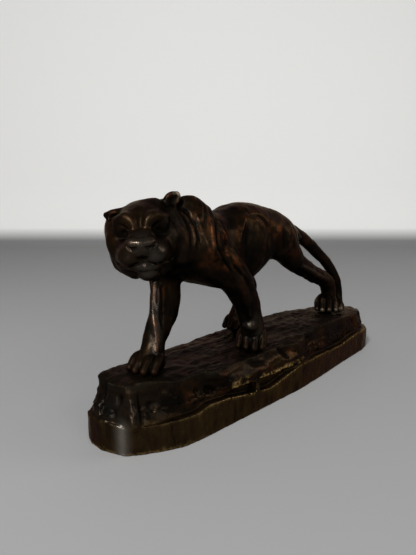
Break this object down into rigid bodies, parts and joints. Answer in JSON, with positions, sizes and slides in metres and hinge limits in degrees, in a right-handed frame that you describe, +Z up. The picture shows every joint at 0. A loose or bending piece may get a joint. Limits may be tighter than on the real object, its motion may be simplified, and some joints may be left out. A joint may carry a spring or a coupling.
{
  "type": "bronze panther sculpture",
  "caption": "Dark bronze sculpture of a striding big cat with a long tail, cast in one piece with a long rocky base that has a plain plinth band.",
  "frame": {"origin": "bottom centre of the base, on the surface that it stands on", "axes": "+X along the base from the head towards the tail, +Y away from the animal's left flank, +Z up"},
  "size_m": [0.3599, 0.091, 0.1705],
  "materials": {
    "dark_bronze": "dark brown to black waxed bronze patina, glossy on the raised forms, with bare golden metal on the worn edges of the plinth band and the rock ledge"
  },
  "bodies": {
    "root": {"panther_bronze": "dark_bronze"}
  },
  "joints": []
}
